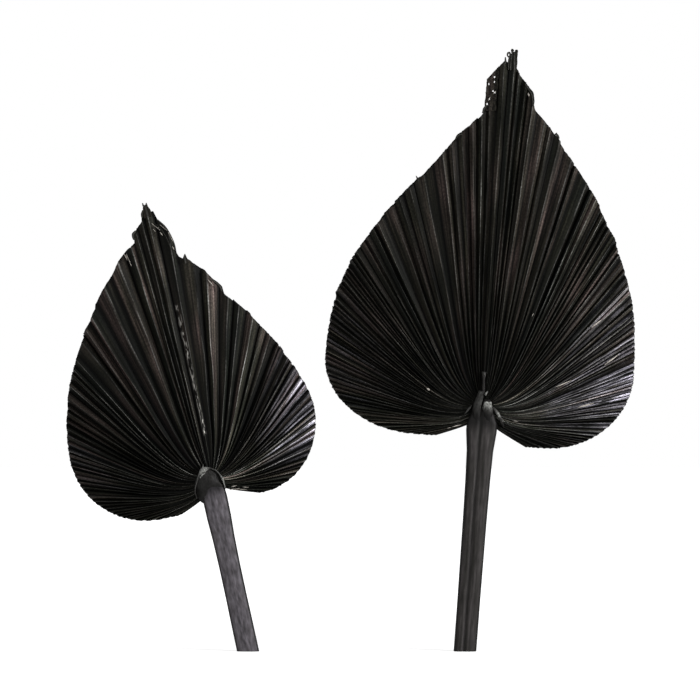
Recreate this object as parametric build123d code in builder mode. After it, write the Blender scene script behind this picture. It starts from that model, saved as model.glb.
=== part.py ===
from build123d import *
import os
from dataclasses import dataclass
from math import atan2, cos, exp, radians, sin, tan

# A pair of dried fan-palm leaves, dyed black: a larger and a smaller one, each a stalk with a pleated,
# spade-shaped blade. Millimetres. Both stand upright with their stalks cut level at z = 0, the front
# of each leaf faces -Y, and the origin is the middle of the larger stalk's cut end.

# Larger leaf. The hub is where its ribs meet, at the head of the stalk.
large_foot_x = 0.0
large_hub_x = 9.2
large_hub_z = 123.0
large_foot_width = 11.4
large_neck_width = 12.8
large_head_width = 15.5
large_stalk_depth = 9.0
large_runs = 14

# Larger blade: heights are measured up the midrib from the hub, widths out from the midrib. Each
# flank ends straight, at its own angle from the midrib. The crowns are torn: they rise above the
# shoulder as (rise, width) pairs, up to the tip.
large_tip = 178.5
large_left_width = 81.0
large_left_widest = 19.0
large_left_drop = 16.9
large_left_straight = 44.5
large_left_angle = 38.6
large_left_shoulder = 136.5
large_left_shoulder_width = 20.7
large_left_sweep = 13.0
large_left_spread = 108.0
large_left_crown = ((10.0, 10.3), (26.5, 10.3), (37.0, 1.7))
large_left_tip_width = 1.7
large_right_width = 75.0
large_right_widest = 20.0
large_right_drop = 19.4
large_right_straight = 18.0
large_right_angle = 40.0
large_right_shoulder = 150.0
large_right_shoulder_width = 14.9
large_right_sweep = 12.0
large_right_spread = 114.0
large_right_crown = ((8.0, 13.0), (17.5, 4.6))
large_right_tip_width = 4.0

# Smaller leaf
small_foot_x = -108.4
small_hub_x = -127.1
small_hub_z = 86.5
small_foot_width = 11.0
small_neck_width = 11.2
small_head_width = 12.5
small_stalk_depth = 8.4
small_runs = 11

# Smaller blade
small_tip = 141.0
small_left_width = 68.0
small_left_widest = 23.0
small_left_drop = 14.9
small_left_straight = 8.0
small_left_angle = 42.4
small_left_shoulder = 120.5
small_left_shoulder_width = 17.4
small_left_sweep = 12.5
small_left_spread = 108.0
small_left_crown = ((1.5, 14.5), (5.5, 13.2), (13.5, 6.4))
small_left_tip_width = 3.2
small_right_width = 58.3
small_right_widest = 25.2
small_right_drop = 12.5
small_right_straight = 24.5
small_right_angle = 35.5
small_right_shoulder = 107.5
small_right_shoulder_width = 14.0
small_right_sweep = 8.5
small_right_spread = 105.0
small_right_crown = ((5.5, 7.4), (15.0, 6.3), (26.0, 1.0))
small_right_tip_width = 0.6

# Folds of both blades. Ribs leave the hub sideways and bend upward over the bend length. The most
# swept rib is where its share of the spread, raised to the sweep power, is 90 degrees of the turn.
sheet = 0.6
folds_per_run = 4
fold_rise = 3.0
fold_rise_length = 22.0
bend_length = 10.0
sweep_turn = 144.0
sweep_power = 0.7
fall_angle = 8.0
root_distance = 3.0
bend_distances = (9.0, 17.0, 34.0)
past_the_tip = 10.0

# Spade outline: a quarter ellipse round each lobe, then a power curve up the flank, cut in straight
# snips. The lobe's bottom is at this share of the half's own width.
lobe_bottom_share = 0.42
lobe_snips = 9
flank_snips = 8

# Stalk, with the blade's root round its head
root_clearance = 0.3
neck_below_hub = 30.0
head_below_hub = 12.5
head_above_hub = 3.0
head_top_share = 0.82
front_share = 0.42
stalk_bevel = 1.4
groove_width = 1.6
groove_depth = 0.7
groove_offset = -1.8

# Midrib behind the blade
midrib_width = 6.0
midrib_depth = 3.4
midrib_length_share = 0.62
midrib_end_width = 1.4
midrib_end_depth = 0.8

# Hastula: the crest on the front of the stalk's head. The larger leaf's is torn into a tongue, which
# is the midrib's tip, and a stump. The smaller leaf's is a rounded hood.
crest_thickness = 1.5
crest_bevel = 0.4
crest_below_hub = 7.0
tongue_width = 4.4
tongue_end_width = 2.2
tongue_bend = 8.0
tongue_length = 16.5
tongue_shift = 3.0
tongue_end_shift = 1.0
stump_width = 5.0
stump_end_width = 3.2
stump_length = 2.0
hood_width = 14.4
hood_height = 18.0
hood_top = 6.2
hood_thickness = 1.7
hood_rounding = 1.5


@dataclass
class Half:
    """One side of a blade: its spade outline, and how its ribs spread and sweep."""
    side: int
    width: float
    widest: float
    drop: float
    straight: float
    angle: float
    shoulder: float
    shoulder_width: float
    sweep: float
    spread: float
    crown: tuple
    tip_width: float

    def rib(self, share, distance):
        """Where a rib is, at a share of the spread from the midrib and a distance from the hub."""
        turn = radians(share * self.spread)
        most_aside = self.sweep * sin(radians(sweep_turn * share ** sweep_power))
        aside = most_aside * (1 - exp(-distance / bend_length))
        across = distance * sin(turn) + aside * cos(turn)
        up = distance * cos(turn) - aside * sin(turn)
        return Vector(self.side * across, up)

    def edge(self):
        """The outline from the lobe's bottom, round its corner and up the flank to the shoulder. The
        flank's curve meets its straight end with no kink, which sets the curve's power."""
        bottom = lobe_bottom_share * self.width
        outline = []
        for snip in range(lobe_snips):
            turn = radians(90 * snip / lobe_snips)
            across = bottom + (self.width - bottom) * sin(turn)
            outline.append((across, self.widest - (self.widest + self.drop) * cos(turn)))
        slope = tan(radians(self.angle))
        bend_height = self.shoulder - self.straight
        bend_width = self.shoulder_width + self.straight * slope
        rise = bend_height - self.widest
        power = slope * rise / (self.width - bend_width)
        for snip in range(flank_snips + 1):
            share = snip / flank_snips
            across = self.width - (self.width - bend_width) * share ** power
            outline.append((across, self.widest + rise * share))
        outline.append((self.shoulder_width, self.shoulder))
        return [(self.side * across, up) for across, up in outline]

    def torn_top(self, tip):
        """The torn crown, from the shoulder up to the tip."""
        steps = [(self.side * across, self.shoulder + rise) for rise, across in self.crown]
        return [*steps, (self.side * self.tip_width, tip), (0, tip)]


@dataclass
class Leaf:
    """A leaf: where its stalk starts and its ribs meet, its stalk's widths, and its blade's halves."""
    name: str
    foot_x: float
    hub_x: float
    hub_z: float
    foot_width: float
    neck_width: float
    head_width: float
    stalk_depth: float
    runs: int
    tip: float
    halves: tuple

    def plane(self):
        """The leaf's own plane: x across it, y up its midrib and z out of its front."""
        lean = atan2(self.hub_x - self.foot_x, self.hub_z)
        return Plane(
            origin=(self.hub_x, 0, self.hub_z), x_dir=(cos(lean), 0, -sin(lean)), z_dir=(0, -1, 0)
        )

    def cross_plane(self, height, depth=0):
        """A plane across the leaf: x across, y towards its back, z up its midrib."""
        plane = self.plane()
        return Plane(
            origin=plane.from_local_coords((0, height, -depth)), x_dir=plane.x_dir, z_dir=plane.y_dir
        )


def valley_height(across):
    """The valleys lie on two planes that fall back from the midrib."""
    return -abs(across) * sin(radians(fall_angle))


def ridge_rise(distance):
    """The folds deepen away from the hub."""
    return fold_rise * (1 - exp(-distance / fold_rise_length))


def spade(leaf):
    """A block cut to a blade's outline, notched round the stalk's head."""
    notch_half = leaf.head_width / 2 + root_clearance
    notch_top = head_above_hub + root_clearance
    with BuildPart() as block:
        with BuildSketch(leaf.plane()):
            for half in leaf.halves:
                with BuildLine():
                    Polyline((0, -half.drop), *half.edge(), *half.torn_top(leaf.tip), close=True)
                make_face()
            with BuildLine():
                Polyline(
                    (-notch_half * head_top_share, notch_top),
                    (notch_half * head_top_share, notch_top),
                    (notch_half, -head_below_hub),
                    (notch_half, -leaf.tip),
                    (-notch_half, -leaf.tip),
                    (-notch_half, -head_below_hub),
                    close=True,
                )
            make_face(mode=Mode.SUBTRACT)
        extrude(amount=leaf.tip, both=True)
    return block.part


def fold_points(half, first, last, distance, length):
    """The zigzag through a run of folds, front and back, along a chord of this length."""
    steps = 2 * folds_per_run
    front = []
    for step in range(steps + 1):
        share = step / steps
        across = half.rib(first, distance).X * (1 - share) + half.rib(last, distance).X * share
        rise = ridge_rise(distance) if step % 2 else 0
        front.append((share * length, valley_height(across) + rise))
    back = [(along, height - sheet) for along, height in reversed(front)]
    return front + back


def build_run(leaf, half, block, number):
    """A run of folds, lofted along its bending ribs and trimmed to the spade."""
    plane = leaf.plane()
    first = (number - 1) / leaf.runs
    last = number / leaf.runs
    with BuildPart() as run:
        for distance in (root_distance, *bend_distances, leaf.tip + past_the_tip):
            start = plane.from_local_coords(half.rib(first, distance))
            chord = plane.from_local_coords(half.rib(last, distance)) - start
            across_ribs = Plane(origin=start, x_dir=chord, z_dir=chord.cross(plane.z_dir))
            with BuildSketch(across_ribs):
                with BuildLine():
                    Polyline(*fold_points(half, first, last, distance, chord.length), close=True)
                make_face()
        loft(ruled=True)
        add(block, mode=Mode.INTERSECT)
    side_name = "right" if half.side > 0 else "left"
    save(run.part, f"{leaf.name}_{side_name}_folds_{number:02d}")


def stalk_section(place, width, depth):
    """Flat in front with bevelled edges and a groove beside the middle, round behind."""
    front = -depth * front_share
    flat = width / 2 - stalk_bevel
    with BuildSketch(place) as section:
        with BuildLine():
            Polyline(
                (-width / 2, 0),
                (-flat, front),
                (groove_offset - groove_width / 2, front),
                (groove_offset, front + groove_depth),
                (groove_offset + groove_width / 2, front),
                (flat, front),
                (width / 2, 0),
            )
            ThreePointArc((width / 2, 0), (0, front + depth), (-width / 2, 0))
        make_face()
    return section.sketch


def build_stalk(leaf):
    """The stalk, from its level cut end up to the flared head that the blade grows round."""
    sections = [stalk_section(Plane(origin=(leaf.foot_x, 0, 0)), leaf.foot_width, leaf.stalk_depth)]
    for height, width in (
        (-neck_below_hub, leaf.neck_width),
        (-head_below_hub, leaf.head_width),
        (head_above_hub, leaf.head_width * head_top_share),
    ):
        sections.append(stalk_section(leaf.cross_plane(height), width, leaf.stalk_depth))
    with BuildPart() as stalk:
        loft(sections, ruled=True)
    save(stalk.part, f"{leaf.name}_stalk")


def build_midrib(leaf):
    """The stalk's back carries on behind the blade as a half-round midrib that tapers away."""
    seat = sheet + root_clearance - valley_height(midrib_width / 2)
    with BuildPart() as midrib:
        for height, width, depth in (
            (head_above_hub, midrib_width, midrib_depth),
            (leaf.tip * midrib_length_share, midrib_end_width, midrib_end_depth),
        ):
            with BuildSketch(leaf.cross_plane(height, depth=seat)):
                with BuildLine():
                    Line((-width / 2, 0), (width / 2, 0))
                    ThreePointArc((width / 2, 0), (0, depth), (-width / 2, 0))
                make_face()
        loft(ruled=True)
    save(midrib.part, f"{leaf.name}_midrib")


def build_torn_hastula(leaf):
    """A tongue that leans to the midrib beside a short stump, on the stalk's flat front."""
    tongue_left = -tongue_shift - tongue_width / 2
    tongue_right = tongue_left + tongue_width
    with BuildPart() as hastula:
        with BuildSketch(leaf.plane().offset(leaf.stalk_depth * front_share)):
            with BuildLine():
                Polyline(
                    (tongue_left, -crest_below_hub),
                    (tongue_left, 0),
                    (-tongue_end_shift - tongue_end_width / 2, tongue_bend),
                    (-tongue_end_shift - tongue_end_width / 2, tongue_length),
                    (-tongue_end_shift + tongue_end_width / 2, tongue_length),
                    (-tongue_end_shift + tongue_end_width / 2, tongue_bend),
                    (tongue_right, stump_length),
                    (tongue_right, 0),
                    (tongue_right + (stump_width - stump_end_width) / 2, stump_length),
                    (tongue_right + (stump_width + stump_end_width) / 2, stump_length),
                    (tongue_right + stump_width, 0),
                    (tongue_right + stump_width, -crest_below_hub),
                    close=True,
                )
            make_face()
        extrude(amount=crest_thickness)
        front = hastula.faces().sort_by(Axis.Y)[0]
        chamfer(front.edges(), length=crest_bevel)
    save(hastula.part, f"{leaf.name}_hastula")


def build_hood_hastula(leaf):
    """A hood with a rounded rim, on the stalk's flat front."""
    with BuildPart() as hastula:
        with BuildSketch(leaf.plane().offset(leaf.stalk_depth * front_share)):
            with Locations((0, hood_top - hood_height / 2)):
                Ellipse(hood_width / 2, hood_height / 2)
        extrude(amount=hood_thickness)
        front = hastula.faces().sort_by(Axis.Y)[0]
        fillet(front.edges(), radius=hood_rounding)
    save(hastula.part, f"{leaf.name}_hastula")


def save(solid, name):
    solid.label = name
    export_step(solid, f"parts/{name}.step")


large = Leaf(
    "large", large_foot_x, large_hub_x, large_hub_z,
    large_foot_width, large_neck_width, large_head_width, large_stalk_depth, large_runs, large_tip,
    (
        Half(
            -1, large_left_width, large_left_widest, large_left_drop, large_left_straight,
            large_left_angle, large_left_shoulder, large_left_shoulder_width,
            large_left_sweep, large_left_spread, large_left_crown, large_left_tip_width,
        ),
        Half(
            1, large_right_width, large_right_widest, large_right_drop, large_right_straight,
            large_right_angle, large_right_shoulder, large_right_shoulder_width,
            large_right_sweep, large_right_spread, large_right_crown, large_right_tip_width,
        ),
    ),
)
small = Leaf(
    "small", small_foot_x, small_hub_x, small_hub_z,
    small_foot_width, small_neck_width, small_head_width, small_stalk_depth, small_runs, small_tip,
    (
        Half(
            -1, small_left_width, small_left_widest, small_left_drop, small_left_straight,
            small_left_angle, small_left_shoulder, small_left_shoulder_width,
            small_left_sweep, small_left_spread, small_left_crown, small_left_tip_width,
        ),
        Half(
            1, small_right_width, small_right_widest, small_right_drop, small_right_straight,
            small_right_angle, small_right_shoulder, small_right_shoulder_width,
            small_right_sweep, small_right_spread, small_right_crown, small_right_tip_width,
        ),
    ),
)

os.makedirs("parts", exist_ok=True)
build_torn_hastula(large)
build_hood_hastula(small)
for leaf in (large, small):
    build_stalk(leaf)
    build_midrib(leaf)
    block = spade(leaf)
    for half in leaf.halves:
        for number in range(1, leaf.runs + 1):
            build_run(leaf, half, block, number)
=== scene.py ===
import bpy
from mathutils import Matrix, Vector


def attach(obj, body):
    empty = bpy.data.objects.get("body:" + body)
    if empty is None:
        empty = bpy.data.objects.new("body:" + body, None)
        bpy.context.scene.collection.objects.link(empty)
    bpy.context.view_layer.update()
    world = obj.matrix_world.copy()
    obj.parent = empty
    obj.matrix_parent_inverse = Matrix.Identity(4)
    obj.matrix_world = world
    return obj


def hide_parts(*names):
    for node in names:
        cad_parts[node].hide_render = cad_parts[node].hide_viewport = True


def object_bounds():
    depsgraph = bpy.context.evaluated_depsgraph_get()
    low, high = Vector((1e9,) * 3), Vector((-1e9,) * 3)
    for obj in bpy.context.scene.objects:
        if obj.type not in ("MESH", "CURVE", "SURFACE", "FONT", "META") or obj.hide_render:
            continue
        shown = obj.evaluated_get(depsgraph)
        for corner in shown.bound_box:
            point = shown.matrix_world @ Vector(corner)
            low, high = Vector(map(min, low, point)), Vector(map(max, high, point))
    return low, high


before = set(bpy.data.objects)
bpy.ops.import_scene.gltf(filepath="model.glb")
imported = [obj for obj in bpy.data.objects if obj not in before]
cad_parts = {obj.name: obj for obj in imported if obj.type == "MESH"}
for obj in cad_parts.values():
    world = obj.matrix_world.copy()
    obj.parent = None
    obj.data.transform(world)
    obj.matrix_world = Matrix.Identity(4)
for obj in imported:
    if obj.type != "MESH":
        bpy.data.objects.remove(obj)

from types import SimpleNamespace

import bpy
import numpy as np

# The stage: a plain sweep of white paper, as in a studio, that carries only the leaves' soft shadow. One
# broad lamp stands to the right of the leaves and a weaker one to the left, and white sky fills in.

cad_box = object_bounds()
mm = 0.001
low, high = (np.array(corner) for corner in cad_box)
middle = (low + high) / 2


def node(tree, kind, values=(), **settings):
    """Adds a node; values are (socket, number or output) pairs, and settings are its properties."""
    made = tree.nodes.new(kind)
    for name, value in settings.items():
        setattr(made, name, value)
    for socket, value in values:
        if isinstance(value, bpy.types.NodeSocket):
            tree.links.new(value, made.inputs[socket])
        else:
            made.inputs[socket].default_value = value
    return made


# A long lens, square to the leaves' fronts and level with their middle.
view_width = 350 * mm
sideways = -0.4 * mm
lens = 200
camera_data = bpy.data.cameras.new("camera")
camera_data.lens = lens
camera = bpy.data.objects.new("camera", camera_data)
camera.location = (middle[0] + sideways, -view_width * lens / camera_data.sensor_width, middle[2])
camera.rotation_euler = (np.pi / 2, 0, 0)
bpy.context.collection.objects.link(camera)
bpy.context.scene.camera = camera
bpy.context.scene.view_settings.view_transform = "Standard"

# Each lamp's place and size are in metres, and its power is in watts.
for name, place, size, power in (
    ("key_lamp", (0.95, -0.55, 0.45), 0.45, 17),
    ("fill_lamp", (-0.7, -1.0, 0.7), 0.8, 4),
):
    lamp_data = bpy.data.lights.new(name, "AREA")
    lamp_data.size = size
    lamp_data.energy = power
    lamp = bpy.data.objects.new(name, lamp_data)
    lamp.location = place
    aim = bpy.data.objects.new(name + "_aim", None)
    aim.location = middle
    bpy.context.collection.objects.link(aim)
    bpy.context.collection.objects.link(lamp)
    track = lamp.constraints.new("TRACK_TO")
    track.target = aim
    track.track_axis = "TRACK_NEGATIVE_Z"
    track.up_axis = "UP_Y"


def background_rays(tree):
    """1 for a ray that shows the background: straight to the camera, mirrored or let through."""
    path = node(tree, "ShaderNodeLightPath")
    mirrored = node(
        tree, "ShaderNodeMath",
        [(0, path.outputs["Is Glossy Ray"]), (1, path.outputs["Is Transmission Ray"])], operation="MAXIMUM",
    )
    shown = node(
        tree, "ShaderNodeMath",
        [(0, path.outputs["Is Camera Ray"]), (1, mirrored.outputs[0])], operation="MAXIMUM",
    )
    return shown.outputs[0]


world = bpy.data.worlds.new("white_sky")
bpy.context.scene.world = world
world.use_nodes = True
tree = world.node_tree
tree.nodes.clear()
seen = node(tree, "ShaderNodeBackground", [("Color", (1, 1, 1, 1)), ("Strength", 1.0)])
sky = node(tree, "ShaderNodeBackground", [("Color", (1, 1, 1, 1)), ("Strength", 0.30)])
mixed = node(
    tree, "ShaderNodeMixShader",
    [(0, background_rays(tree)), (1, sky.outputs[0]), (2, seen.outputs[0])],
)
node(tree, "ShaderNodeOutputWorld", [("Surface", mixed.outputs[0])])

half_floor = 3.0
floor_level = low[2]
floor_mesh = bpy.data.meshes.new("floor")
floor_mesh.from_pydata(
    [
        (-half_floor, -half_floor, floor_level), (half_floor, -half_floor, floor_level),
        (half_floor, half_floor, floor_level), (-half_floor, half_floor, floor_level),
    ],
    [], [(0, 1, 2, 3)],
)
floor = bpy.data.objects.new("floor", floor_mesh)
bpy.context.collection.objects.link(floor)

# White paper: dull and even. To the camera it also glows, fully white from 0.35 m away from the leaves'
# feet and less beside them, where their shadow shows.
white_sweep = bpy.data.materials.new("white_sweep")
white_sweep.use_nodes = True
tree = white_sweep.node_tree
tree.nodes.clear()
paper = node(tree, "ShaderNodeBsdfDiffuse", [("Color", (0.8, 0.8, 0.8, 1))])
place = node(tree, "ShaderNodeTexCoord")
feet = node(
    tree, "ShaderNodeMapping",
    [("Vector", place.outputs["Object"]), ("Location", tuple(-middle * (1, 0, 0)))],
)
away = node(tree, "ShaderNodeVectorMath", [(0, feet.outputs[0])], operation="LENGTH")
lift = node(
    tree, "ShaderNodeMapRange",
    [
        ("Value", away.outputs["Value"]), ("From Min", 0.10), ("From Max", 0.35),
        ("To Min", 0.62), ("To Max", 1.0),
    ],
)
strength = node(
    tree, "ShaderNodeMath", [(0, lift.outputs["Result"]), (1, background_rays(tree))], operation="MULTIPLY",
)
glow = node(tree, "ShaderNodeEmission", [("Strength", strength.outputs[0])])
lifted = node(tree, "ShaderNodeAddShader", [(0, paper.outputs[0]), (1, glow.outputs[0])])
node(tree, "ShaderNodeOutputMaterial", [("Surface", lifted.outputs[0])])
floor_mesh.materials.append(white_sweep)


# The pleated blades: dried palm leaf, dyed black. Each is a fan of V-shaped folds that spring from the
# head of the stalk, bend upward and run straight to an edge trimmed with shears to a spade shape.

# The folds start at the hub, the foot is the middle of the stalk's cut end, and tip is how far the tip lies
# from the hub. Each half of a blade has this many runs of joined folds, one for each CAD node.
large = SimpleNamespace(
    name="large", hub=np.array([9.2, 0, 123.0]) * mm, foot=np.array([0.0, 0, 0]), runs=14,
    tip=178.5 * mm,
)
small = SimpleNamespace(
    name="small", hub=np.array([-127.1, 0, 86.5]) * mm, foot=np.array([-108.4, 0, 0]) * mm, runs=11,
    tip=141 * mm,
)
for leaf in (large, small):
    lean = np.arctan2(leaf.hub[0] - leaf.foot[0], leaf.hub[2])
    leaf.across = np.array([np.cos(lean), 0, -np.sin(lean)])
    leaf.up = np.array([np.sin(lean), 0, np.cos(lean)])
    leaf.out = np.array([0.0, -1, 0])

# Each half's outline is in the leaf's own plane, up and across from its hub. The lobe is as broad as width
# at the height widest, and hangs below the hub by drop. Above it the flank curves to its bend, and runs on
# straight to the crown, a torn edge of (up, across) points; steps are (up, how far it stands out) pairs.
# Ribs fan out over the spread, and are shifted aside by up to the sweep. A share of the fan is 0 beside
# the midrib and 1 beside the stalk, and folds are broader, by broad_by, round the share broad_at.
# The rest is how the dye is drawn, with painted light and shade in it. light gives (share, brightness)
# pairs, painted light and shade of each part of the half as the lamps fall on it, and bold and even each
# have a value for share 0 and for share 1: how much folds differ in brightness, and how little painted
# shade their valleys get. shade lifts the faces turned from the key lamp, and the last value is how strong
# the painted violet sheen on the lobe is.
large.halves = (
    SimpleNamespace(
        side=-1, name="large_left", width=81 * mm, widest=19 * mm, drop=16.9 * mm,
        sweep=13 * mm, spread=np.radians(108), bend=np.array([92, 56.2]) * mm,
        run_folds=4, broad_at=0.14, broad_by=1.0,
        crown=np.array([[136.5, 20.7], [142, 15.1], [146, 10.6], [148, 9.8], [149.5, 5.8],
                        [166, 5.4], [169, 5.0], [171, 4.0], [172.5, 2.4]]) * mm,
        steps=np.array([[50.5, 0], [51, 0.7], [58, 0], [66.5, 0], [67, 0.8], [74, 0], [88, 0],
                        [92, 1.1], [105, 1.0], [111.5, 0.6], [113, -0.6], [124, -0.6],
                        [134, -0.2], [134.5, 0.8], [136, 0]]) * mm,
        light=((0, 0.36), (0.3, 0.37), (0.65, 0.46), (0.85, 1.05), (1, 1.35)),
        bold=(-0.7, -0.6), even=(0.4, 1.1), shade=2.0, painted_sheen=0.1,
    ),
    SimpleNamespace(
        side=1, name="large_right", width=74.9 * mm, widest=20 * mm, drop=19.4 * mm,
        sweep=12 * mm, spread=np.radians(114), bend=np.array([132, 30.0]) * mm,
        run_folds=5, broad_at=0.12, broad_by=0.2,
        crown=np.array([[150, 14.9], [154, 13.5], [158, 13.0], [162, 9.8], [166, 6.1],
                        [169, 4.5], [170.5, 3.6]]) * mm,
        steps=np.array([[40, 0], [45, 0.5], [60, 0.7], [85.4, 0.2], [86, 1.3], [95, 0.2],
                        [104, 0.1], [104.4, 1.1], [118, 0.4], [134.4, 0.2], [134.9, 1.3],
                        [149, 0]]) * mm,
        light=((0, 0.5), (0.15, 0.64), (0.4, 1.42), (0.7, 1.3), (0.85, 0.8), (1, 0.65)),
        bold=(-0.6, 2.2), even=(0.25, -0.5), shade=1.2, painted_sheen=1.3,
    ),
)
small.halves = (
    SimpleNamespace(
        side=-1, name="small_left", width=67.8 * mm, widest=23 * mm, drop=14.9 * mm,
        sweep=12.5 * mm, spread=np.radians(108), bend=np.array([112.5, 24.7]) * mm,
        run_folds=4, broad_at=0.14, broad_by=1.0,
        crown=np.array([[120.5, 17.4], [122, 14.5], [124, 12.3], [126, 12.6], [128, 11.3],
                        [130, 9.9], [133, 6.7], [136.8, 5.6]]) * mm,
        steps=np.array([[50, 0], [60, 0.3], [83.6, 0], [84, 0.8], [88, 0.2], [96.6, 0], [97, 0.9],
                        [101, 1.2], [108, 0.2], [113, 0.5], [116, 0.8], [120, 0]]) * mm,
        light=((0, 0.45), (0.3, 0.38), (0.65, 0.45), (0.85, 0.9), (1, 1.3)),
        bold=(0.6, -0.7), even=(-0.2, 1.2), shade=1.6, painted_sheen=0.1,
    ),
    SimpleNamespace(
        side=1, name="small_right", width=58.3 * mm, widest=25.2 * mm, drop=12.5 * mm,
        sweep=8.5 * mm, spread=np.radians(105), bend=np.array([83, 31.5]) * mm,
        run_folds=3, broad_at=0.09, broad_by=1.2,
        crown=np.array([[107.5, 14.0], [110, 12.3], [110.6, 9.4], [112.5, 7.2], [118, 7.1],
                        [122, 6.2], [126, 5.1], [130, 2.2], [134, 0.7], [136.8, 0.2]]) * mm,
        steps=np.array([[54.5, 0], [55, 0.6], [62, 0.2], [76, 0], [76.5, 1.0], [81, 0.2], [85, 0],
                        [88, -0.9], [91.6, -0.9], [92, 1.0], [98.5, 1.0], [103, 1.6],
                        [107.4, 0]]) * mm,
        light=((0, 0.45), (0.1, 0.88), (0.3, 0.9), (0.5, 1.5), (0.7, 1.8), (1, 1.15)),
        bold=(0.5, 1.4), even=(0.0, 0.0), shade=1.0, painted_sheen=1.5,
    ),
)
sheet = 0.3 * mm  # the dry blade's thickness
root = 3 * mm  # from the hub to where the folds begin
fold_rise = 3.0 * mm  # from valley to ridge, once a fold has opened
rise_length = 22 * mm  # how soon it opens
fall = np.radians(8)  # each half falls back from the middle by this angle
bend_length = 10 * mm  # how soon a rib has been shifted aside
sweep_turn = np.radians(144)
sweep_power = 0.7
edge_curl = np.radians(3)  # how much further round the last rib goes
edge_bend = 0.6  # how much sooner it bends
edge_curl_power = 12
edge_bend_power = 6
lobe_bottom = 0.42  # the lobe's lowest point across, as a share of its width


def rib(half, share, distance):
    """A rib goes out straight at its own angle, shifted aside by an amount that grows away from the hub.
    The shift is the sweep times the sine of an angle: the sweep turn times the share of the fan to the
    sweep power. High powers of the share make the last ribs, beside the stalk, curl further round and
    bend sooner."""
    angle = share * half.spread + edge_curl * share ** edge_curl_power
    bend = bend_length * (1 - edge_bend * share ** edge_bend_power)
    aside = half.sweep * np.sin(sweep_turn * share ** sweep_power) * (1 - np.exp(-distance / bend))
    across = distance * np.sin(angle) + aside * np.cos(angle)
    return across, distance * np.cos(angle) - aside * np.sin(angle)


def half_width_at(half, up):
    """A quarter ellipse round the lobe, a power curve up the flank that runs on straight from its bend
    to the shoulder with no kink between, then straight tears at the crown. Small steps stand on the flank
    where the shears left one strip longer than the next."""
    bottom = lobe_bottom * half.width
    down = np.clip((half.widest - up) / (half.widest + half.drop), -1, 1)
    lobe = bottom + (half.width - bottom) * np.sqrt(1 - down ** 2)
    bend_up, bend_width = half.bend
    shoulder_up, shoulder_width = half.crown[0]
    slope = (bend_width - shoulder_width) / (shoulder_up - bend_up)
    power = slope * (bend_up - half.widest) / (half.width - bend_width)
    climb = np.clip((up - half.widest) / (bend_up - half.widest), 0, 1)
    curve = half.width - (half.width - bend_width) * climb ** power
    flank = np.where(up < bend_up, curve, bend_width - slope * (up - bend_up))
    crown = np.interp(up, half.crown[:, 0], half.crown[:, 1], right=-1)
    flank = flank + np.interp(up, half.steps[:, 0], half.steps[:, 1])
    width = np.where(up < half.widest, lobe, np.where(up < shoulder_up, flank, crown))
    return np.where(up < -half.drop, -1, width)


def cut_distance(half, share, tip, tries=900):
    """How far along its rib each share of the fan reaches before the trimmed edge: the last of many even
    tries, from the root to just past the tip, that is still inside the outline."""
    distances = np.linspace(root, tip * 1.02, tries)[:, None]
    across, up = rib(half, share[None, :], distances)
    inside = across < half_width_at(half, up)
    last = len(distances) - 1 - np.argmax(inside[::-1], axis=0)
    return distances[last, 0]


def in_leaf(leaf, across, up, out):
    """Points from how far across, up and out of the leaf's own plane they lie, from its hub."""
    return leaf.hub + across[..., None] * leaf.across + up[..., None] * leaf.up + out[..., None] * leaf.out


def waves(rng, rows, columns, count=3):
    """A slow wobble along each column, -1 to 1: the mean of a few sines, each of random phase and going
    through half a turn to three turns."""
    along = np.linspace(0, 1, rows)[:, None, None]
    phase = rng.uniform(0, 2 * np.pi, (1, columns, count))
    turned = rng.uniform(1, 6, (1, columns, count)) * np.pi
    return np.sin(along * turned + phase).mean(axis=2)


def skin(name, points, uv, marks, kept=None):
    """A grid of points as a sheet that faces out of the leaf, with its thickness given by Solidify behind
    it. marks are named values at each point, and kept says which squares of the grid stay."""
    rows, columns = points.shape[:2]
    index = np.arange(rows * columns).reshape(rows, columns)
    squares = np.stack([index[:-1, :-1], index[:-1, 1:], index[1:, 1:], index[1:, :-1]], axis=-1)
    normals = np.cross(points[:-1, 1:] - points[:-1, :-1], points[1:, :-1] - points[:-1, :-1])
    faces = squares.reshape(-1, 4)
    if kept is not None:
        faces = squares[kept]
    if normals[..., 1].sum() > 0:
        faces = faces[:, ::-1]
    mesh = bpy.data.meshes.new(name)
    mesh.vertices.add(rows * columns)
    mesh.vertices.foreach_set("co", points.reshape(-1).astype(np.float32))
    mesh.loops.add(faces.size)
    mesh.loops.foreach_set("vertex_index", faces.reshape(-1).astype(np.int32))
    mesh.polygons.add(len(faces))
    mesh.polygons.foreach_set("loop_start", np.arange(0, faces.size, 4, dtype=np.int32))
    mesh.update(calc_edges=True)
    layer = mesh.uv_layers.new(name="UVMap")
    layer.data.foreach_set("uv", uv.reshape(-1, 2)[faces.reshape(-1)].reshape(-1).astype(np.float32))
    for mark, values in marks.items():
        attribute = mesh.attributes.new(mark, "FLOAT", "POINT")
        attribute.data.foreach_set("value", values.reshape(-1).astype(np.float32))
    mesh.polygons.foreach_set("use_smooth", np.ones(len(faces), dtype=bool))
    mesh.validate()
    made = bpy.data.objects.new(name, mesh)
    bpy.context.collection.objects.link(made)
    thick = made.modifiers.new("thickness", "SOLIDIFY")
    thick.thickness = sheet
    thick.offset = -1
    return made


def linear(hex_colour):
    """A six-figure sRGB colour as linear values: a straight line for dark values, a power for the rest."""
    values = np.array([int(hex_colour[i:i + 2], 16) for i in (1, 3, 5)]) / 255
    low_part = values / 12.92
    high_part = ((values + 0.055) / 1.055) ** 2.4
    return (*np.where(values <= 0.04045, low_part, high_part).tolist(), 1.0)


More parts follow.
